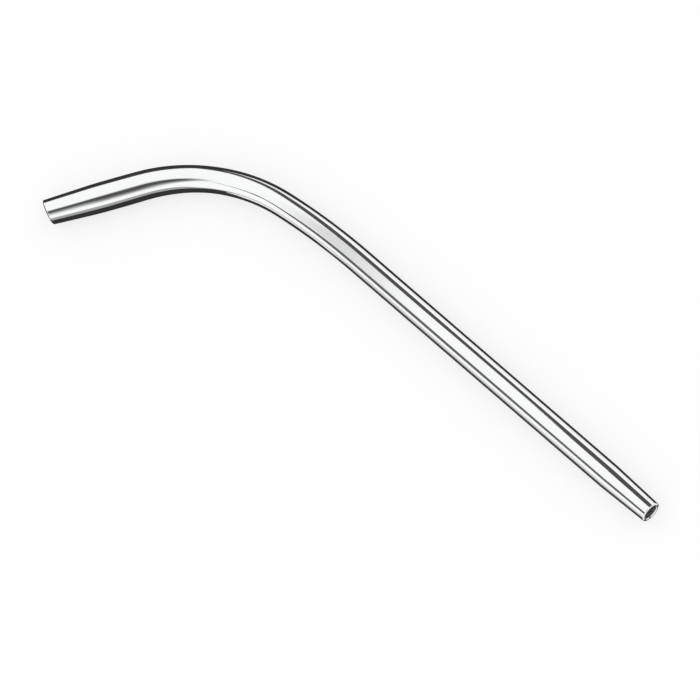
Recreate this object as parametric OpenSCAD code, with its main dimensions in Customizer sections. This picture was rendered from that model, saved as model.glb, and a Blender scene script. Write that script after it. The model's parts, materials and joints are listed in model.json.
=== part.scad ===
// Saliva ejector tip: one bent, polished metal tube that is drawn in at both ends.
// It lies flat, with its bend in the XY plane and +Z up. The origin is on the shaft's
// axis where the lead-in taper starts, and +X points out of the hose end.
// Each module is one length of the tube, from the hose mouth to the working mouth.

/* [Tube] */
// Outside diameter of the shaft and of the bend
tube_d = 6.35; // [5.6:0.05:7]
// Diameter of the lumen, the same from mouth to mouth
lumen_d = 4; // [2.5:0.1:4.2]
// Length of the straight shaft, from the lead-in taper to the bend
shaft_l = 83.6; // [50:0.1:120]
// Width of the bevel on the inner edge of both mouths
bevel = 0.15; // [0.05:0.05:0.2]

/* [Hose end] */
// Length of the lead-in taper
taper_l = 13.8; // [8:0.1:25]
// Outside diameter of the taper at the end face
hose_mouth_d = 5.36; // [5.2:0.02:5.6]
// Radius of the rounded outer edge at the hose mouth, where its wall has room for it
hose_lip_r = 0.5; // [0.1:0.05:0.5]

/* [Bend] */
// Centreline radius of the easy run-out between the shaft and the main bend
run_out_r = 180; // [100:5:300]
// Angle that the run-out turns through
run_out_a = 7.8; // [2:0.1:15]
// Centreline radius of the main bend
bend_r = 44.4; // [30:0.2:80]
// Angle that the main bend turns through
bend_a = 47.4; // [32:0.2:90]

/* [Working tip] */
// Outside diameter of the swollen tip
tip_d = 7.29; // [6.8:0.01:8.5]
// Length over which the tube swells to the tip, along the centreline
swell_l = 27; // [12:0.5:40]
// Length of the swell that lies past the bend, on the straight
swell_run = 5.4; // [1:0.1:10]
// Length of the tip, from the end of the swell to the middle of the mouth
tip_l = 18.3; // [16:0.1:40]
// Length of the nose that narrows to the mouth
nose_l = 12.5; // [6:0.5:14]
// Radius of the easy curve between the tip's body and its nose
nose_blend_r = 120; // [40:5:150]
// Outside diameter of the nose at the mouth
mouth_d = 6.25; // [5.8:0.05:6.7]
// Angle between the mouth and a square cut, facing the inside of the bend
mouth_slant = 9.5; // [0:0.5:20]
// Radius of the rounded outer edge at the mouth
mouth_lip_r = 0.45; // [0.1:0.05:0.6]

/* [Hidden] */

$fn = 96;
polished = [0.82, 0.83, 0.84];
tube_r = tube_d / 2;
lumen_r = lumen_d / 2;
hose_mouth_r = hose_mouth_d / 2;
tip_r = tip_d / 2;
mouth_r = mouth_d / 2;

// How far a cutting shape runs past the face that it cuts
cut_past = 0.5;
// Straight steps in each quarter-round edge and easy curve
arc_steps = 8;
// Rings along the bent part of the swell, and points around each ring
swell_rings = 24;
ring_points = 48;

// Arc of the main bend that swells, and what is left of it at the tube's diameter
swell_a = (swell_l - swell_run) / bend_r * 180 / PI;
plain_a = bend_a - swell_a;
turn_a = run_out_a + bend_a;

// Centres of the two bends, and the point where the main bend ends
run_out_centre = [-shaft_l, -run_out_r, 0];
bend_centre = run_out_centre + (run_out_r - bend_r) * outward(run_out_a);
bend_end = bend_centre + bend_r * outward(turn_a);

// Direction from a bend's centre to the centreline, after a turn from the shaft
function outward(turn) = [-sin(turn), cos(turn), 0];

// Points of an arc in a profile, as [radius, height]
function arc(centre, r, from, to) =
    [for (i = [0 : arc_steps]) let (a = from + (to - from) * i / arc_steps)
        centre + r * [cos(a), sin(a)]];

// Eases from 0 to 1 with no kink at either end
function ease(t) = t * t * (3 - 2 * t);

// Radius of the swelling tube at a distance past the bend's end
function swell_r(x) = tube_r + (tip_r - tube_r) * ease(1 - (swell_run - x) / swell_l);

// Ring of the swell's skin at an angle past the bend's end, which is 0 or less
function swell_ring(turn) =
    let (side = [-sin(turn), cos(turn), 0],
         centre = bend_r * ([0, 1, 0] - side),
         r = swell_r(turn * PI / 180 * bend_r))
    [for (j = [0 : ring_points - 1]) let (a = 360 * j / ring_points)
        centre + r * (cos(a) * side + [0, 0, sin(a)])];

// Wall of the tube, as a flat ring
module tube_section() {
    difference() {
        circle(d = tube_d);
        circle(d = lumen_d);
    }
}

// Turns a profile drawn on Z into one that runs along +X. The start angle keeps the
// seams of two shapes that cut each other apart.
module along_x(start = 0) {
    rotate([0, 90, 0]) rotate(start) rotate_extrude() children();
}

// Frame at the end of the main bend, with +X running on towards the mouth
// and +Y towards the inside of the bend
module at_bend_end() {
    translate(bend_end) rotate(180 + turn_a) children();
}

// Frame in the middle of the mouth, square to its slanted face
module at_mouth() {
    translate([swell_run + tip_l, 0, 0]) rotate(mouth_slant) children();
}

// Lead-in taper with a rounded lip, which a hose or a valve's socket takes
module hose_end() {
    lean = atan2(tube_r - hose_mouth_r, taper_l);
    lip_r = min(hose_lip_r, hose_mouth_r - lumen_r - bevel);
    lip_centre = [hose_mouth_r - lip_r * (1 - sin(lean)) / cos(lean), taper_l - lip_r];
    color(polished) along_x() polygon(concat(
        [[lumen_r, 0], [tube_r, 0]],
        arc(lip_centre, lip_r, lean, 90),
        [[lumen_r + bevel, taper_l], [lumen_r, taper_l - bevel]]));
}

// Straight length that is held, clamped or pushed into a socket
module shaft() {
    color(polished) translate([-shaft_l, 0, 0]) rotate([0, 90, 0])
        linear_extrude(shaft_l) tube_section();
}

// Easy curve that leads from the shaft into the main bend
module run_out() {
    color(polished) translate(run_out_centre) rotate(90)
        rotate_extrude(angle = run_out_a) translate([run_out_r, 0]) tube_section();
}

// First part of the main bend, still at the tube's diameter
module bend() {
    color(polished) translate(bend_centre) rotate(90 + run_out_a)
        rotate_extrude(angle = plain_a) translate([bend_r, 0]) tube_section();
}

// Solid skin of the swell: rings that turn and grow along the centreline
module swell_skin() {
    points = [for (i = [0 : swell_rings]) each swell_ring(swell_a * (i / swell_rings - 1))];
    sides = [for (i = [0 : swell_rings - 1], j = [0 : ring_points - 1])
        let (a = i * ring_points + j,
             b = i * ring_points + (j + 1) % ring_points)
        each [[a, b, b + ring_points], [a, b + ring_points, a + ring_points]]];
    first = [for (j = [0 : ring_points - 1]) ring_points - 1 - j];
    last = [for (j = [0 : ring_points - 1]) swell_rings * ring_points + j];
    polyhedron(points, concat(sides, [first, last]));
}

// Rest of the main bend, where the tube starts to swell
module swell() {
    past_a = cut_past / bend_r * 180 / PI;
    color(polished) at_bend_end() difference() {
        swell_skin();
        translate([0, bend_r, 0]) rotate(-90 - swell_a - past_a)
            rotate_extrude(angle = swell_a + 2 * past_a) translate([bend_r, 0]) circle(d = lumen_d);
    }
}

// Tip's outside before its mouth is cut: the end of the swell, a straight body and a narrowing nose
module tip_skin() {
    lean = atan2(tip_r - mouth_r, nose_l);
    blend_l = nose_blend_r * tan(lean / 2);
    nose_start = swell_run + tip_l - nose_l;
    past_mouth = mouth_r * tan(mouth_slant) + cut_past;
    end = swell_run + tip_l + past_mouth;
    along_x() polygon(concat(
        [[0, 0]],
        [for (i = [0 : arc_steps]) let (x = swell_run * i / arc_steps) [swell_r(x), x]],
        arc([tip_r - nose_blend_r, nose_start - blend_l], nose_blend_r, 0, lean),
        [[mouth_r - past_mouth * tan(lean), end], [0, end]]));
}

// Keeps what lies behind the slanted mouth, with the outer edge rounded
module mouth_limit() {
    opening_lean = 20;
    reach = swell_run + tip_l + tip_r;
    at_mouth() along_x(90) polygon(concat(
        [[0, -reach], [mouth_r + (reach - mouth_lip_r) * tan(opening_lean), -reach]],
        arc([mouth_r - mouth_lip_r, -mouth_lip_r], mouth_lip_r, 0, 90),
        [[0, 0]]));
}

// Bevel on the inner edge of the slanted mouth, as a shape to take away
module mouth_bevel() {
    at_mouth() rotate([0, 90, 0]) translate([0, 0, -bevel - cut_past])
        cylinder(r1 = lumen_r - cut_past, r2 = lumen_r + bevel + cut_past, h = bevel + 2 * cut_past);
}

// Working end that lies in the mouth: swollen, drawn in and smooth at its lip
module tip() {
    color(polished) at_bend_end() difference() {
        intersection() {
            tip_skin();
            mouth_limit();
        }
        translate([-cut_past, 0, 0]) rotate([0, 90, 0])
            cylinder(d = lumen_d, h = swell_run + tip_l + tip_r + cut_past);
        mouth_bevel();
    }
}

hose_end();
shaft();
run_out();
bend();
swell();
tip();
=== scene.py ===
"""Saliva ejector tip: one bent, mirror-polished tube in a white studio with dark flags and painted
shadow on the table that only reflections see.
"""

import json
import logging
import math
from dataclasses import dataclass
from enum import Enum
from typing import Any, Union

import bpy
from mathutils import Matrix, Vector

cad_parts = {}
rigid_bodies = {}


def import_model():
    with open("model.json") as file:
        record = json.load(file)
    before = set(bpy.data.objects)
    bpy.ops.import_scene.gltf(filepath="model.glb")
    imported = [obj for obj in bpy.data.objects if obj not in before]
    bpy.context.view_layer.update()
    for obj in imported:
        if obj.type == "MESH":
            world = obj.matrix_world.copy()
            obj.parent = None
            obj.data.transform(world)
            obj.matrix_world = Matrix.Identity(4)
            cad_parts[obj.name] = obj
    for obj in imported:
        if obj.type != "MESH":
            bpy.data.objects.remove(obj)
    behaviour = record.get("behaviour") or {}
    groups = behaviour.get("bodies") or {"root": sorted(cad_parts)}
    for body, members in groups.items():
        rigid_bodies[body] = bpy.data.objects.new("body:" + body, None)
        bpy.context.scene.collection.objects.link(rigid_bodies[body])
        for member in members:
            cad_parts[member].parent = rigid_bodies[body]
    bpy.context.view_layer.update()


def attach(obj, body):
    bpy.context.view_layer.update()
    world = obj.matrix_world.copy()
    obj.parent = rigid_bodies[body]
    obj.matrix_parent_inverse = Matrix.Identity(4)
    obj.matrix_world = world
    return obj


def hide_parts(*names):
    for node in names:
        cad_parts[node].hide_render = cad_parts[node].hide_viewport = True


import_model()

LOG = logging.getLogger("ejector_tip")
MM = 0.001
BODY = "root"
WALL_TREE = "bent_tube_wall"
NORMAL_NAME = "wall_normal"
PLACE_NAME = "tube_place"
CORNER_ANGLE = math.radians(20)
POINT_VECTOR = {"data_type": "FLOAT_VECTOR", "domain": "POINT"}

Number = Union[int, float]
Operand = Union["Wire", Number]
Key = Union[int, str]
Place = tuple[float, float]
Point = tuple[float, float, float]
Feather = tuple[float, float, float, float]
Outline = list[tuple[float, float, float, float]]

NO_FEATHER: Feather = (0, 0, 0, 0)


class Length(Enum):
    """The lengths of the tube, from the hose mouth to the working mouth."""

    HOSE_END = "hose_end"
    SHAFT = "shaft"
    RUN_OUT = "run_out"
    BEND = "bend"
    SWELL = "swell"
    TIP = "tip"


@dataclass(frozen=True)
class Wire:
    """An output of a node that takes part in Python expressions."""

    graph: "Graph"
    socket: bpy.types.NodeSocket

    def math(self, operation: str, *others: Operand, flip: bool = False) -> "Wire":
        """Adds a Math node.

        Args:
            operation: the node's operation.
            others: the other operands.
            flip: whether the first two operands change places.

        Returns:
            The result.
        """
        values = [self, *others]
        if flip:
            values[0], values[1] = values[1], values[0]
        return self.graph.node("ShaderNodeMath", {"operation": operation}, dict(enumerate(values)))

    def __add__(self, other: Operand) -> "Wire":
        """Sum."""
        return self.math("ADD", other)

    __radd__ = __add__

    def __sub__(self, other: Operand) -> "Wire":
        """Difference."""
        return self.math("SUBTRACT", other)

    def __rsub__(self, other: Number) -> "Wire":
        """Difference from a number."""
        return self.math("SUBTRACT", other, flip=True)

    def __mul__(self, other: Operand) -> "Wire":
        """Product."""
        return self.math("MULTIPLY", other)

    __rmul__ = __mul__

    def __truediv__(self, other: Operand) -> "Wire":
        """Quotient."""
        return self.math("DIVIDE", other)

    def __mod__(self, other: Operand) -> "Wire":
        """Remainder."""
        return self.math("MODULO", other)

    def limit(self, low: Operand, high: Operand) -> "Wire":
        """Keeps the value between two others."""
        return self.math("MAXIMUM", low).math("MINIMUM", high)

    def ease(self, low: Number, high: Number) -> "Wire":
        """Goes smoothly from 0 at one value to 1 at the other."""
        share = ((self - low) / (high - low)).limit(0, 1)
        return share * share * (3 - 2 * share)

    def out(self, key: Key) -> "Wire":
        """Another output of the same node."""
        return Wire(self.graph, Graph.find(self.socket.node.outputs, key))


class Graph:
    """Adds nodes to one tree and links them."""

    def __init__(self, tree: bpy.types.NodeTree) -> None:
        """Takes an empty tree, or one whose nodes are to go."""
        self.tree = tree
        tree.nodes.clear()

    @staticmethod
    def find(sockets: Any, key: Key) -> bpy.types.NodeSocket:
        """Finds a socket that is in use.

        Args:
            sockets: a node's inputs or outputs.
            key: the socket's place, identifier or name.

        Returns:
            The socket.
        """
        if isinstance(key, int):
            return sockets[key]
        return next(s for s in sockets if s.enabled and key in (s.identifier, s.name))

    def node(self, kind: str, settings: dict[str, Any] | None = None,
             inputs: dict[Key, Any] | None = None, output: Key = 0) -> Wire:
        """Adds a node.

        Args:
            kind: the node's type.
            settings: its properties, which are set first.
            inputs: values or wires for its inputs.
            output: which output to give back.

        Returns:
            The output, or the node's first input socket where it has no output.
        """
        node = self.tree.nodes.new(kind)
        for name, value in (settings or {}).items():
            setattr(node, name, value)
        for key, value in (inputs or {}).items():
            socket = self.find(node.inputs, key)
            if isinstance(value, Wire):
                self.tree.links.new(value.socket, socket)
            else:
                socket.default_value = value
        sockets = node.outputs if len(node.outputs) else node.inputs
        return Wire(self, self.find(sockets, output))

    def vector(self, x: Operand, y: Operand, z: Operand) -> Wire:
        """Puts three values together as a vector."""
        return self.node("ShaderNodeCombineXYZ", None, {0: x, 1: y, 2: z})

    def mix_colour(self, share: Operand, a: Any, b: Any) -> Wire:
        """Mixes two colours."""
        return self.node("ShaderNodeMix", {"data_type": "RGBA"},
                         {"Factor": share, "A": a, "B": b}, "Result")


def start_material(name: str) -> tuple[bpy.types.Material, Graph]:
    """Makes a material that has no nodes yet.

    Args:
        name: the material's name.

    Returns:
        The material and the graph of its tree.
    """
    material = bpy.data.materials.new(name)
    material.use_nodes = True
    return material, Graph(material.node_tree)


def add_object(name: str, data: bpy.types.ID) -> bpy.types.Object:
    """Makes an object and puts it in the scene.

    Args:
        name: the object's name.
        data: its mesh or camera.

    Returns:
        The object, at the origin.
    """
    thing = bpy.data.objects.new(name, data)
    bpy.context.scene.collection.objects.link(thing)
    return thing


@dataclass(frozen=True)
class Grain:
    """Noise with a grain of its own along and across the tube, in metres."""

    length: float
    width: float
    detail: float
    seed: float
    band: Place | None = None

    def noise(self, graph: Graph, along: Wire, across: Wire, up: Wire) -> Wire:
        """Adds the noise.

        Args:
            graph: the material's graph.
            along: place along the straightened tube.
            across: place across it, in the plane of the bend.
            up: place across it, square to that plane.

        Returns:
            The noise, eased from 0 to 1 over its band where it has one.
        """
        place = graph.vector(along / self.length, across / self.width, up / self.width)
        value = graph.node("ShaderNodeTexNoise", {"noise_dimensions": "4D"},
                           {"Vector": place, "W": self.seed, "Scale": 1.0, "Detail": self.detail})
        return value.ease(*self.band) if self.band else value


@dataclass(frozen=True)
class PolishedSteel:
    """Mirror-polished tube steel with faint draw lines, and a duller bore that no wheel reaches."""

    colour: Point = (0.86, 0.865, 0.87)
    shade: Point = (0.83, 0.835, 0.845)
    bore_colour: Point = (0.62, 0.62, 0.62)
    cloud_share: float = 0.5
    scuff_share: float = 0.3
    roughness: float = 0.06
    line_roughness: float = 0.03
    scuff_roughness: float = 0.07
    bore_roughness: float = 0.40
    wave_height: float = 1.6e-6
    line_height: float = 0.10e-6
    bore_r: float = 2.06 * MM
    bore_blend: float = 0.05 * MM
    scuff_from: float = 22.0 * MM
    scuff_to: float = -8.0 * MM
    draw_lines: Grain = Grain(14 * MM, 0.16 * MM, 2.0, 1.3, (0.35, 0.75))
    polish_waves: Grain = Grain(19 * MM, 4.5 * MM, 1.0, 4.1)
    clouds: Grain = Grain(30 * MM, 3.0 * MM, 2.0, 7.7, (0.3, 0.7))
    scuff_rings: Grain = Grain(0.10 * MM, 9 * MM, 1.5, 2.6, (0.60, 0.78))

    def material(self) -> bpy.types.Material:
        """Makes the finish.

        Returns:
            The material, which reads the straightened place on the tube.
        """
        material, graph = start_material("polished_steel")
        place = graph.node("ShaderNodeAttribute", {"attribute_name": PLACE_NAME}, None, "Vector")
        along = graph.node("ShaderNodeSeparateXYZ", None, {0: place}, "X")
        across, up = along.out("Y"), along.out("Z")
        from_axis = (across * across + up * up).math("SQRT")
        bore = 1 - from_axis.ease(self.bore_r, self.bore_r + self.bore_blend)

        lines, waves, clouds, rings = (
            grain.noise(graph, along, across, up)
            for grain in (self.draw_lines, self.polish_waves, self.clouds, self.scuff_rings))
        scuffs = rings * (1 - along.ease(self.scuff_to, self.scuff_from))

        skin = graph.mix_colour(clouds * self.cloud_share + scuffs * self.scuff_share,
                                (*self.colour, 1), (*self.shade, 1))
        colour = graph.mix_colour(bore, skin, (*self.bore_colour, 1))
        polish = self.roughness + self.line_roughness * lines + self.scuff_roughness * scuffs
        roughness = polish + bore * (self.bore_roughness - polish)
        height = waves * self.wave_height + lines * self.line_height
        normal = graph.node("ShaderNodeBump", None,
                            {"Strength": 1.0, "Distance": 1.0, "Height": height}, "Normal")
        shader = graph.node("ShaderNodeBsdfPrincipled", None, {
            "Base Color": colour, "Metallic": 1.0, "Roughness": roughness, "Normal": normal})
        graph.node("ShaderNodeOutputMaterial", None, {"Surface": shader})
        return material


@dataclass(frozen=True)
class Taper:
    """Narrowing of a card's feathers towards its top, about a line at a share of its width."""

    start: float
    rate: float
    centre: float

    def widen(self, across: Wire, up: Wire) -> Wire:
        """Gives the place across the card as it would be without the taper."""
        width = 1 - self.rate * (up - self.start).math("MAXIMUM", 0)
        return self.centre + (across - self.centre) / width


@dataclass(frozen=True)
class CardFinish:
    """Even grey of a studio card, with feathered sides where it is soft."""

    name: str
    radiance: float
    feather: Feather = NO_FEATHER
    taper: Taper | None = None
    least_feather: float = 1e-4

    def material(self) -> bpy.types.Material:
        """Makes the card's material.

        Returns:
            The material, whose feathers are shares of the card's width and height.
        """
        material, graph = start_material(self.name)
        shader = graph.node("ShaderNodeEmission", None, {
            "Color": (self.radiance, self.radiance, self.radiance, 1), "Strength": 1.0})
        if any(self.feather):
            place = graph.node("ShaderNodeUVMap", {"uv_map": "UVMap"})
            across = graph.node("ShaderNodeSeparateXYZ", None, {0: place}, "X")
            up = across.out("Y")
            if self.taper:
                across = self.taper.widen(across, up)
            left, right, low, high = (max(share, self.least_feather) for share in self.feather)
            solid = (across.ease(0, left) * (1 - across).ease(0, right)
                     * up.ease(0, low) * (1 - up).ease(0, high))
            clear = graph.node("ShaderNodeBsdfTransparent")
            shader = graph.node("ShaderNodeMixShader", None, {0: solid, 1: clear, 2: shader})
        graph.node("ShaderNodeOutputMaterial", None, {"Surface": shader})
        return material


@dataclass(frozen=True)
class TableFinish:
    """White table that is partly lit from below, so that its shadow stays light."""

    colour: Point = (0.99, 0.99, 0.99)
    lit_share: float = 0.7
    solid_r: float = 0.55
    edge_r: float = 0.75

    def material(self) -> bpy.types.Material:
        """Makes the table's material.

        Returns:
            The material, which fades out towards the table's edge.
        """
        material, graph = start_material("white_table")
        place = graph.node("ShaderNodeTexCoord", None, None, "Object")
        reach = graph.node("ShaderNodeVectorMath", {"operation": "LENGTH"}, {0: place}, "Value")
        matt = graph.node("ShaderNodeBsdfDiffuse", None, {"Color": (*self.colour, 1)})
        lit = graph.node("ShaderNodeEmission", None, {"Color": (1, 1, 1, 1), "Strength": 1.0})
        top = graph.node("ShaderNodeMixShader", None, {0: self.lit_share, 1: matt, 2: lit})
        clear = graph.node("ShaderNodeBsdfTransparent")
        shader = graph.node("ShaderNodeMixShader", None,
                            {0: reach.ease(self.solid_r, self.edge_r), 1: top, 2: clear})
        graph.node("ShaderNodeOutputMaterial", None, {"Surface": shader})
        return material


@dataclass(frozen=True)
class Centreline:
    """Line that the tube follows, in millimetres and degrees."""

    shaft_l: float = 83.6
    run_out_r: float = 180.0
    run_out_a: float = 7.8
    bend_r: float = 44.4
    bend_a: float = 47.4

    @property
    def run_out_l(self) -> float:
        """Length of the run-out."""
        return self.run_out_r * math.radians(self.run_out_a)

    @property
    def bend_end(self) -> float:
        """Distance of the main bend's end from the start of the taper."""
        return self.shaft_l + self.run_out_l + self.bend_r * math.radians(self.bend_a)


class WallOutline:
    """Closed outline of a tube's wall, as distance along, radius and the normal there.

    It runs along the skin towards the working mouth and back along the bore. Every run
    keeps its own end points, so that a corner has the normals of both its sides.
    """

    def __init__(self) -> None:
        """Starts with no points."""
        self.points: Outline = []

    def line(self, start: Place, end: Place, step: float) -> "WallOutline":
        """Adds a straight run.

        Args:
            start: distance along and radius where it starts.
            end: distance along and radius where it ends.
            step: longest step between its points.

        Returns:
            The outline.
        """
        (u0, r0), (u1, r1) = start, end
        length = math.hypot(u1 - u0, r1 - r0)
        normal = (-(r1 - r0) / length, (u1 - u0) / length)
        count = max(1, math.ceil(length / step))
        for i in range(count + 1):
            t = i / count
            self.points.append((u0 + (u1 - u0) * t, r0 + (r1 - r0) * t, *normal))
        return self

    def arc(self, centre: Place, radius: float, first: float, last: float,
            count: int = 10) -> "WallOutline":
        """Adds a rounded run.

        Args:
            centre: distance along and radius of the arc's centre.
            radius: the arc's own radius.
            first: direction of its first point, in radians from the tube's axis.
            last: direction of its last point.
            count: number of steps.

        Returns:
            The outline.
        """
        for i in range(count + 1):
            a = first + (last - first) * i / count
            along, out = math.cos(a), math.sin(a)
            self.points.append((centre[0] + radius * along, centre[1] + radius * out, along, out))
        return self

    def swell(self, shape: "SwellShape", first: float, last: float, step: float) -> "WallOutline":
        """Adds a run that follows the swelling skin.

        Args:
            shape: the skin.
            first: distance along where the run starts.
            last: distance along where it ends.
            step: longest step between its points.

        Returns:
            The outline.
        """
        count = math.ceil((last - first) / step)
        for i in range(count + 1):
            u = first + (last - first) * i / count
            lean = math.atan(shape.slope(u))
            self.points.append((u, shape.radius(u), -math.sin(lean), math.cos(lean)))
        return self


@dataclass(frozen=True)
class SwellShape:
    """Skin that eases from the tube's radius to the tip's, by distance along the tube."""

    start: float
    length: float
    tube_r: float
    tip_r: float

    def radius(self, u: float) -> float:
        """Radius at a distance along."""
        t = (u - self.start) / self.length
        return self.tube_r + (self.tip_r - self.tube_r) * t * t * (3 - 2 * t)

    def slope(self, u: float) -> float:
        """Growth of the radius at a distance along."""
        t = (u - self.start) / self.length
        return (self.tip_r - self.tube_r) * 6 * t * (1 - t) / self.length


class WallSweep:
    """Geometry Nodes tree that turns a wall's outline round and bends it along the centreline."""

    ROW_NUDGE = 1e-4
    SIZES = ("Shaft length", "Run-out radius", "Run-out angle", "Bend radius", "Bend angle",
             "Slant slope", "Slant start", "Slant end", "Weld distance")

    def __init__(self) -> None:
        """Builds the tree."""
        self.tree = bpy.data.node_groups.new(WALL_TREE, "GeometryNodeTree")
        self.ids: dict[str, str] = {}
        self._add_socket("Outline", "NodeSocketGeometry")
        self._add_socket("Sides", "NodeSocketInt")
        for name in self.SIZES:
            self._add_socket(name, "NodeSocketFloat")
        self._add_socket("Finish", "NodeSocketMaterial")
        self.tree.interface.new_socket("Wall", in_out="OUTPUT", socket_type="NodeSocketGeometry")
        self._build()

    def _add_socket(self, name: str, kind: str) -> None:
        """Adds an input of the tree and keeps its identifier."""
        socket = self.tree.interface.new_socket(name, in_out="INPUT", socket_type=kind)
        self.ids[name] = socket.identifier

    def _build(self) -> None:
        """Adds the nodes: turn the outline round, slant the mouth, bend, set normals, weld."""
        graph = Graph(self.tree)
        given = graph.node("NodeGroupInput", None, None, "Outline")
        sides = given.out("Sides")
        count = graph.node("GeometryNodeAttributeDomainSize", {"component": "MESH"},
                           {0: given}, "Point Count")
        grid = graph.node("GeometryNodeMeshGrid", None,
                          {"Vertices X": count + 1, "Vertices Y": sides + 1}, "Mesh")
        index = graph.node("GeometryNodeInputIndex")
        row = (index / (sides + 1) + self.ROW_NUDGE).math("FLOOR") % count
        turn = index % (sides + 1) / sides * math.tau

        def sampled(value: Wire) -> Wire:
            """Value at this vertex's point of the outline, split in three."""
            found = graph.node("GeometryNodeSampleIndex", {"data_type": "FLOAT_VECTOR"},
                               {"Geometry": given, "Value": value, "Index": row})
            return graph.node("ShaderNodeSeparateXYZ", None, {0: found}, "X")

        point = sampled(graph.node("GeometryNodeInputPosition"))
        facing = sampled(graph.node("GeometryNodeInputNamedAttribute", {"data_type": "FLOAT_VECTOR"},
                                    {"Name": NORMAL_NAME}))
        across = point.out("Y") * turn.math("COSINE")
        up = point.out("Y") * turn.math("SINE")

        reach = ((point - given.out("Slant start"))
                 / (given.out("Slant end") - given.out("Slant start"))).limit(0, 1)
        slant = given.out("Slant slope") * reach * reach * (3 - 2 * reach)
        along = point + across * slant
        facing_across = facing.out("Y") * turn.math("COSINE") - slant * facing
        facing_up = facing.out("Y") * turn.math("SINE")

        run_r, bend_r = given.out("Run-out radius"), given.out("Bend radius")
        run_a, bend_a = given.out("Run-out angle"), given.out("Bend angle")
        past = along - given.out("Shaft length")
        past_run = past - run_r * run_a
        first = (past / run_r).limit(0, run_a)
        whole = first + (past_run / bend_r).limit(0, bend_a)
        lead = past.math("MINIMUM", 0)
        rest = (past_run - bend_r * bend_a).math("MAXIMUM", 0)
        sin, cos = whole.math("SINE"), whole.math("COSINE")
        centre_x = (0 - given.out("Shaft length") - lead - (run_r - bend_r) * first.math("SINE")
                    - bend_r * sin - rest * cos)
        centre_y = (run_r - bend_r) * first.math("COSINE") + bend_r * cos - run_r - rest * sin
        position = graph.vector(centre_x - across * sin, centre_y + across * cos, up)
        normal = graph.vector(0 - facing * cos - facing_across * sin,
                              facing_across * cos - facing * sin, facing_up)
        normal = graph.node("ShaderNodeVectorMath", {"operation": "NORMALIZE"}, {0: normal})
        normal = graph.node("GeometryNodeFieldOnDomain", POINT_VECTOR, {"Value": normal})

        marked = graph.node("GeometryNodeStoreNamedAttribute", POINT_VECTOR,
                            {"Geometry": grid, "Name": PLACE_NAME,
                             "Value": graph.vector(along, across, up)})
        placed = graph.node("GeometryNodeSetPosition", None, {"Geometry": marked, "Position": position})
        smooth = graph.node("GeometryNodeSetShadeSmooth", None, {"Geometry": placed})
        faced = graph.node("GeometryNodeSetMeshNormal", {"mode": "FREE", "domain": "CORNER"},
                           {"Mesh": smooth, "Custom Normal": normal})
        welded = graph.node("GeometryNodeMergeByDistance", None,
                            {"Geometry": faced, "Distance": given.out("Weld distance")})
        edge = graph.node("GeometryNodeInputMeshEdgeAngle", None, None, "Unsigned Angle")
        crisp = graph.node("GeometryNodeSetShadeSmooth", {"domain": "EDGE"},
                           {"Geometry": welded, "Selection": edge.math("GREATER_THAN", CORNER_ANGLE),
                            "Shade Smooth": False})
        real = graph.node("GeometryNodeRealizeInstances", None, {"Geometry": crisp})
        dressed = graph.node("GeometryNodeSetMaterial", None,
                             {"Geometry": real, "Material": given.out("Finish")})
        graph.node("NodeGroupOutput", None, {"Wall": dressed})

    def sweep(self, name: str, outline: WallOutline, values: dict[str, Any]) -> bpy.types.Object:
        """Makes one length of the tube as a plain mesh.

        Args:
            name: the piece's name.
            outline: the outline of its wall, in millimetres.
            values: values of the tree's inputs, by name, in metres and radians.

        Returns:
            The piece.
        """
        mesh = bpy.data.meshes.new(name)
        count = len(outline.points)
        mesh.from_pydata([(u * MM, r * MM, 0) for u, r, _, _ in outline.points],
                         [(i, (i + 1) % count) for i in range(count)], [])
        facing = mesh.attributes.new(NORMAL_NAME, "FLOAT_VECTOR", "POINT")
        for i, (_, _, nu, nr) in enumerate(outline.points):
            facing.data[i].vector = (nu, nr, 0)
        piece = add_object(name, mesh)
        modifier = piece.modifiers.new(WALL_TREE, "NODES")
        modifier.node_group = self.tree
        for key, value in values.items():
            modifier[self.ids[key]] = value
        graph = bpy.context.evaluated_depsgraph_get()
        solid = bpy.data.meshes.new_from_object(piece.evaluated_get(graph),
                                                preserve_all_data_layers=True, depsgraph=graph)
        piece.modifiers.remove(modifier)
        piece.data = solid
        solid.name = name
        bpy.data.meshes.remove(mesh)
        return piece


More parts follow.
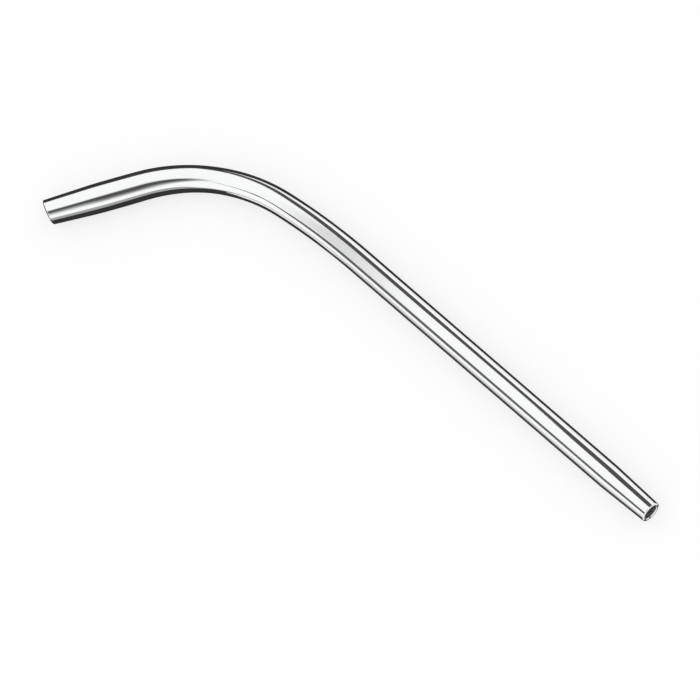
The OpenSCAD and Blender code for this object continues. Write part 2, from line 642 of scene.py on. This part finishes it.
@dataclass
class EjectorTube:
    """The whole tube: its sizes in millimetres and degrees, and its six lengths."""

    line: Centreline = Centreline()
    tube_d: float = 6.35
    lumen_d: float = 4.0
    bevel: float = 0.15
    taper_l: float = 13.8
    hose_mouth_d: float = 5.36
    hose_lip_r: float = 0.2
    hose_bevel: float = 0.22
    tip_d: float = 7.29
    swell_l: float = 27.0
    swell_run: float = 5.4
    tip_l: float = 18.3
    nose_l: float = 12.5
    nose_blend_r: float = 120.0
    mouth_d: float = 6.25
    mouth_slant: float = 9.5
    mouth_lip_r: float = 0.45
    slant_start: float = 7.0
    slant_end: float = 1.3
    mouth_inset: float = 0.04
    sides: int = 144
    skin_step: float = 0.4
    shaft_step: float = 1.6
    bore_step: float = 1.2
    blend_steps: int = 12
    weld: float = 0.002

    def __post_init__(self) -> None:
        """Works out the radii and the skin of the swell."""
        self.tube_r, self.lumen_r = self.tube_d / 2, self.lumen_d / 2
        self.tip_r, self.mouth_r = self.tip_d / 2, self.mouth_d / 2
        self.mouth_at = self.line.bend_end + self.swell_run + self.tip_l - self.mouth_inset
        self.swell_start = self.line.bend_end + self.swell_run - self.swell_l
        self.swelling = SwellShape(self.swell_start, self.swell_l, self.tube_r, self.tip_r)

    def outline(self, length: Length) -> WallOutline:
        """Gives the outline of a length's wall.

        Args:
            length: which length of the tube.

        Returns:
            The outline, in millimetres.
        """
        line = self.line
        run_out_end = line.shaft_l + line.run_out_l
        makers = {
            Length.HOSE_END: self._hose_end,
            Length.SHAFT: lambda: self._plain(0, line.shaft_l, self.shaft_step),
            Length.RUN_OUT: lambda: self._plain(line.shaft_l, run_out_end, self.skin_step),
            Length.BEND: lambda: self._plain(run_out_end, self.swell_start, self.skin_step),
            Length.SWELL: self._swell,
            Length.TIP: self._tip,
        }
        return makers[length]()

    def _end(self, wall: WallOutline, at: float, skin_r: float) -> WallOutline:
        """Adds the flat end towards the working mouth."""
        return wall.line((at, skin_r), (at, self.lumen_r), skin_r)

    def _start(self, wall: WallOutline, at: float, skin_r: float) -> WallOutline:
        """Adds the flat end towards the hose mouth."""
        return wall.line((at, self.lumen_r), (at, skin_r), skin_r)

    def _bore(self, wall: WallOutline, at: float, back_to: float) -> WallOutline:
        """Adds the bore, which runs back towards the hose mouth."""
        return wall.line((at, self.lumen_r), (back_to, self.lumen_r), self.bore_step)

    def _plain(self, start: float, end: float, step: float) -> WallOutline:
        """Draws a length at the tube's own diameter.

        Args:
            start: distance along where it starts.
            end: distance along where it ends.
            step: longest step along its skin.

        Returns:
            The outline of its wall.
        """
        wall = WallOutline().line((start, self.tube_r), (end, self.tube_r), step)
        self._end(wall, end, self.tube_r)
        self._bore(wall, end, start)
        return self._start(wall, start, self.tube_r)

    def _swell(self) -> WallOutline:
        """Draws the bent length that swells.

        Returns:
            The outline of its wall.
        """
        start, end = self.swell_start, self.line.bend_end
        wall = WallOutline().swell(self.swelling, start, end, self.skin_step)
        self._end(wall, end, self.swelling.radius(end))
        self._bore(wall, end, start)
        return self._start(wall, start, self.tube_r)

    def _hose_end(self) -> WallOutline:
        """Draws the lead-in taper with its rounded lip.

        Returns:
            The outline of its wall.
        """
        mouth_r, mouth = self.hose_mouth_d / 2, -self.taper_l
        lean = math.atan2(self.tube_r - mouth_r, self.taper_l)
        lip, bevel = self.hose_lip_r, self.hose_bevel
        lip_at = (mouth + lip, mouth_r - lip * (1 - math.sin(lean)) / math.cos(lean))
        taper_at = (lip_at[0] - lip * math.sin(lean), lip_at[1] + lip * math.cos(lean))
        wall = WallOutline().line(taper_at, (0, self.tube_r), self.skin_step)
        self._end(wall, 0, self.tube_r)
        self._bore(wall, 0, mouth + bevel)
        wall.line((mouth + bevel, self.lumen_r), (mouth, self.lumen_r + bevel), bevel)
        wall.line((mouth, self.lumen_r + bevel), (mouth, lip_at[1]), lip)
        return wall.arc(lip_at, lip, math.pi, math.pi / 2 + lean)

    def _tip(self) -> WallOutline:
        """Draws the end of the swell, the body, the nose and the mouth.

        Returns:
            The outline of its wall, before the mouth is slanted.
        """
        start, mouth = self.line.bend_end, self.mouth_at
        body_at = start + self.swell_run
        lean = math.atan2(self.tip_r - self.mouth_r, self.nose_l)
        blend_l = self.nose_blend_r * math.tan(lean / 2)
        nose_at = mouth - self.nose_l
        lip = self.mouth_lip_r
        lip_at = (mouth - lip, self.mouth_r + lip * math.tan(lean) - lip / math.cos(lean))
        wall = WallOutline().swell(self.swelling, start, body_at, self.skin_step)
        wall.line((body_at, self.tip_r), (nose_at - blend_l, self.tip_r), self.skin_step)
        wall.arc((nose_at - blend_l, self.tip_r - self.nose_blend_r), self.nose_blend_r,
                 math.pi / 2, math.pi / 2 - lean, self.blend_steps)
        nose_from = (nose_at + blend_l * math.cos(lean), self.tip_r - blend_l * math.sin(lean))
        lip_from = (lip_at[0] + lip * math.sin(lean), lip_at[1] + lip * math.cos(lean))
        wall.line(nose_from, lip_from, self.skin_step)
        wall.arc(lip_at, lip, math.pi / 2 - lean, 0)
        wall.line((mouth, lip_at[1]), (mouth, self.lumen_r + self.bevel), lip)
        wall.line((mouth, self.lumen_r + self.bevel), (mouth - self.bevel, self.lumen_r), self.bevel)
        self._bore(wall, mouth - self.bevel, start)
        return self._start(wall, start, self.swelling.radius(start))

    def _values(self, length: Length, finish: bpy.types.Material) -> dict[str, Any]:
        """Gives the values of the sweep's inputs.

        Args:
            length: which length of the tube.
            finish: the tube's material.

        Returns:
            The values by the inputs' names, in metres and radians.
        """
        line = self.line
        slant = math.tan(math.radians(self.mouth_slant)) if length is Length.TIP else 0.0
        return {
            "Sides": self.sides,
            "Shaft length": line.shaft_l * MM,
            "Run-out radius": line.run_out_r * MM,
            "Run-out angle": math.radians(line.run_out_a),
            "Bend radius": line.bend_r * MM,
            "Bend angle": math.radians(line.bend_a),
            "Slant slope": slant,
            "Slant start": (self.mouth_at - self.slant_start) * MM,
            "Slant end": (self.mouth_at - self.slant_end) * MM,
            "Weld distance": self.weld * MM,
            "Finish": finish,
        }

    def build(self, finish: PolishedSteel) -> list[bpy.types.Object]:
        """Builds and dresses the six lengths.

        Args:
            finish: the tube's finish.

        Returns:
            The pieces.
        """
        sweep = WallSweep()
        material = finish.material()
        pieces = []
        for length in Length:
            piece = sweep.sweep(f"{length.value}_wall", self.outline(length),
                                self._values(length, material))
            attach(piece, BODY)
            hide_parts(length.value)
            pieces.append(piece)
        return pieces


@dataclass(frozen=True)
class Card:
    """Flat card of the studio, by its corners in millimetres from the part's origin."""

    name: str
    corners: tuple[Point, ...]
    radiance: float
    feather: Feather = NO_FEATHER
    taper: Taper | None = None

    @staticmethod
    def rectangle(x: Place, y: Place) -> tuple[Place, ...]:
        """Gives the corners between two ranges, in the order that feathers need."""
        return ((x[0], y[0]), (x[1], y[0]), (x[1], y[1]), (x[0], y[1]))

    @classmethod
    def upright(cls, name: str, y: float, outline: tuple[Place, ...], radiance: float) -> "Card":
        """Gives a card that stands square to Y, by its outline in X and Z."""
        return cls(name, tuple((x, y, z) for x, z in outline), radiance)

    @classmethod
    def level(cls, name: str, z: float, outline: tuple[Place, ...], radiance: float,
              feather: Feather = NO_FEATHER, taper: Taper | None = None) -> "Card":
        """Gives a card that lies level, by its outline in X and Y."""
        return cls(name, tuple((x, y, z) for x, y in outline), radiance, feather, taper)

    @classmethod
    def fence(cls, name: str, ends: tuple[Place, Place], z: Place, radiance: float) -> "Card":
        """Gives a card that stands over a line between two places, from one height to another."""
        (x0, y0), (x1, y1) = ends
        return cls(name, ((x0, y0, z[0]), (x1, y1, z[0]), (x1, y1, z[1]), (x0, y0, z[1])), radiance)

    def build(self) -> bpy.types.Object:
        """Makes the card.

        Returns:
            The card, which only reflections see and which casts no shadow.
        """
        mesh = bpy.data.meshes.new(self.name)
        mesh.from_pydata([Vector(c) * MM for c in self.corners], [], [range(len(self.corners))])
        if any(self.feather):
            layer = mesh.uv_layers.new(name="UVMap")
            for loop, place in zip(layer.data, self.rectangle((0, 1), (0, 1))):
                loop.uv = place
        finish = CardFinish(self.name, self.radiance, self.feather, self.taper)
        mesh.materials.append(finish.material())
        card = add_object(self.name, mesh)
        card.visible_camera = False
        card.visible_shadow = False
        card.visible_transmission = False
        card.visible_diffuse = False
        return card


@dataclass(frozen=True)
class CardRack:
    """Cards round the tube that draw the stripes in its polish, among them painted shadow on the table.
    Places are in millimetres.
    """

    dark: float = 0.084
    # Radiance of the painted table shadow next to the tube, and of the dark table flag round it
    painted_shadow: float = 0.035
    haze: float = 0.13
    grey: float = 0.41
    # Radiance of the wide fade of painted shadow in front of the tube
    fade: float = 0.78
    pale: float = 0.82
    table_z: float = -3.6
    grey_lift: float = 0.1
    fade_lift: float = 0.02
    back_y: float = 200.0
    front_y: float = -1500.0
    near_y: float = -100.0
    low_y: float = -450.0
    side_x: float = 200.0
    side_l: float = 150.0
    side_top: float = 260.0
    mouth_top: float = 20.0
    hose_x: float = 15.2
    shaft_y: float = -8.0
    fade_x: float = -98.0
    pale_z: float = 40.0
    roof_z: float = 5000.0
    roof_origin: Place = (-140.0, -25.0)
    roof_along: Place = (0.532, -0.899)
    roof_aside: Place = (-0.67, -0.74)

    def cards(self) -> list[Card]:
        """Lists the cards: dark flags, painted table shadow, and paler ones for the greys between the
        stripes.
        """
        return [*self._wall_flags(), *self._table_flags(), *self._roof_flags()]

    def _wall_flags(self) -> list[Card]:
        """Places the upright flags behind, beside and in front of the tube.

        Returns:
            The cards, most of them from outlines of X and Z.
        """
        z = self.table_z
        back = ((60, 425), (-150, 420), (-168, 350), (-142, 228), (-165, 235), (-195, 275),
                (-230, 272), (-245, 200), (-290, 148), (-400, 45), (-480, 85), (-590, 110),
                (-900, 105), (-900, z), (-345, z), (-250, 30), (-205, 45), (-175, 74), (-110, 84),
                (60, 98))
        front = ((-960, 690), (-760, 620), (-690, 620), (-600, 920), (-480, 1150), (-360, 1130),
                 (-262, 1180), (-165, 1330), (-60, 1650), (60, 2420), (60, 2640), (-60, 1900),
                 (-165, 1570), (-262, 1430), (-360, 1430), (-480, 1540), (-600, 1380), (-700, 1360),
                 (-780, 1540), (-960, 1620))
        near = Card.rectangle((-44, -10), (52, 110))
        mouth = ((-185, -49), (-152, -72))
        low = ((45, z), (100, 60), (170, 88), (420, 80), (420, z))

        def side(name: str, y: float) -> Card:
            """Flag beyond the hose end, which only views from behind mirror."""
            ends = ((self.side_x, y), (self.side_x, y + self.side_l))
            return Card.fence(name, ends, (z, self.side_top), self.dark)

        return [
            Card.upright("back_flag", self.back_y, back, self.dark),
            Card.upright("front_flag", self.front_y, front, self.haze),
            Card.upright("near_flag", self.near_y, near, self.haze),
            Card.fence("mouth_flag", mouth, (z, self.mouth_top), self.dark),
            Card.upright("low_flag", self.low_y, low, self.grey),
            side("front_side_flag", -340),
            side("back_side_flag", 90),
        ]

    def _table_flags(self) -> list[Card]:
        """Places the cards on the table round the tube: painted shadow of the tube, and a grey card.

        Returns:
            The cards, from outlines of X and Y.
        """
        z = self.table_z
        inside = ((-150, -66), (-136, -54), (-126, -42), (-116, -37))
        # Dark sheet on the table: painted shadow of the tube next to it, and a dark flag further out
        # past the working end
        dark = ((self.hose_x, 18), (-50, 17), (-112, 20), (-125, 30), (-152, 43), (-345, 200),
                (-760, 200), (-760, -600), (-300, -600), (-175, -200), (-165, -76), *inside,
                (-119, -22), (-117, -16), (-100, -15), (-92, -10), (-80, self.shaft_y),
                (self.hose_x, self.shaft_y))
        grey = (*inside, (-100, -35), (420, self.low_y), (45, self.low_y), (-40, -200), (-108, -88))

        def fade(name: str, reach: float, height: float, radiance: float) -> Card:
            """Painted shadow: grey that fades out from the tube towards the front of the table."""
            outline = Card.rectangle((self.fade_x, self.hose_x), (reach, self.shaft_y))
            return Card.level(name, height, outline, radiance, (0.08, 0, 1, 0))

        return [
            # Painted shadow next to the tube and a dark flag further out; only reflections see it
            Card.level("table_shadow_flag", z, dark, self.painted_shadow),
            Card.level("table_grey", z + self.grey_lift, grey, self.grey),
            # Fades of painted shadow on the table in front of the tube, darkest next to it
            fade("near_painted_shadow", -21, z + self.fade_lift, self.painted_shadow),
            fade("wide_painted_shadow", -90, z - self.fade_lift, self.fade),
        ]

    def _roof_flags(self) -> list[Card]:
        """Places the flags that lie level above the tube.

        Returns:
            The cards, both of them with soft sides.
        """
        def roof(along: float, aside: float) -> Place:
            """Place on the roof, by distances along and across the soft flag."""
            x, y = (origin + a * along + b * aside for origin, a, b
                    in zip(self.roof_origin, self.roof_along, self.roof_aside))
            return (x, y)

        soft = tuple(roof(*corner) for corner in Card.rectangle((-600, 8900), (-2500, 1900)))
        pale = Card.rectangle((-126, -78), (-34, 30))
        return [
            Card.level("soft_flag", self.roof_z, soft, self.dark, (0.25, 0.61, 0, 0.27),
                       Taper(start=0.33, rate=1.24, centre=0.18)),
            Card.level("pale_panel", self.pale_z, pale, self.pale, (0.375, 0.56, 0.05, 0.05)),
        ]


@dataclass(frozen=True)
class Viewpoint:
    """Camera far off with a long lens, at the photograph's angle. The sensor is in millimetres."""

    distance: float = 7.5
    frame_width: float = 0.165337
    sensor: float = 36.0
    clip_end: float = 100.0
    right: Point = (0.70282, 0.66392, -0.25546)
    up: Point = (-0.60776, 0.74703, 0.2694)
    back: Point = (0.3697, -0.03409, 0.92853)
    aim: Point = (-0.061484, -0.018285, 0.023311)

    def build(self) -> bpy.types.Object:
        """Makes the camera.

        Returns:
            The camera, in its place.
        """
        data = bpy.data.cameras.new("camera")
        data.sensor_width = self.sensor
        data.lens = self.sensor * self.distance / self.frame_width
        data.clip_end = self.clip_end
        turn = Matrix((self.right, self.up, self.back)).transposed()
        place = Vector(self.aim) + Vector(self.back) * self.distance
        camera = add_object("camera", data)
        camera.matrix_world = Matrix.Translation(place) @ turn.to_4x4()
        return camera


@dataclass(frozen=True)
class Studio:
    """White room, table, cards and camera, in metres."""

    rack: CardRack = CardRack()
    view: Viewpoint = Viewpoint()
    table: TableFinish = TableFinish()
    floor_z: float = -3.645 * MM
    table_r: float = 0.8
    table_sides: int = 96
    tent: float = 1.10

    def build(self) -> None:
        """Makes the room, the table, the cards and the camera."""
        scene = bpy.context.scene
        scene.view_settings.view_transform = "Standard"
        scene.world = self._room()
        self._table()
        for card in self.rack.cards():
            card.build()
        scene.camera = self.view.build()

    def _room(self) -> bpy.types.World:
        """Makes the white room, which the polish sees a little brighter than white.

        Returns:
            The world.
        """
        world = bpy.data.worlds.new("white_room")
        world.use_nodes = True
        graph = Graph(world.node_tree)
        mirrored = graph.node("ShaderNodeLightPath", None, None, "Is Glossy Ray")
        shader = graph.node("ShaderNodeBackground", None, {
            "Color": (1, 1, 1, 1), "Strength": 1 + mirrored * (self.tent - 1)})
        graph.node("ShaderNodeOutputWorld", None, {"Surface": shader})
        return world

    def _table(self) -> None:
        """Makes the round white table under the tube."""
        turns = [math.tau * i / self.table_sides for i in range(self.table_sides)]
        rim = [(self.table_r * math.cos(turn), self.table_r * math.sin(turn), 0) for turn in turns]
        mesh = bpy.data.meshes.new("white_table")
        mesh.from_pydata(rim, [], [range(len(rim))])
        mesh.materials.append(self.table.material())
        table = add_object("white_table", mesh)
        table.location = (*self.view.aim[:2], self.floor_z)


def main() -> None:
    """Builds the studio and the tube, and reports each piece."""
    logging.basicConfig(level=logging.INFO, format="%(name)s: %(message)s")
    Studio().build()
    for piece in EjectorTube().build(PolishedSteel()):
        mesh = piece.data
        LOG.info("%s: %d points, %d faces", piece.name, len(mesh.vertices), len(mesh.polygons))


if __name__ == "__main__":
    main()
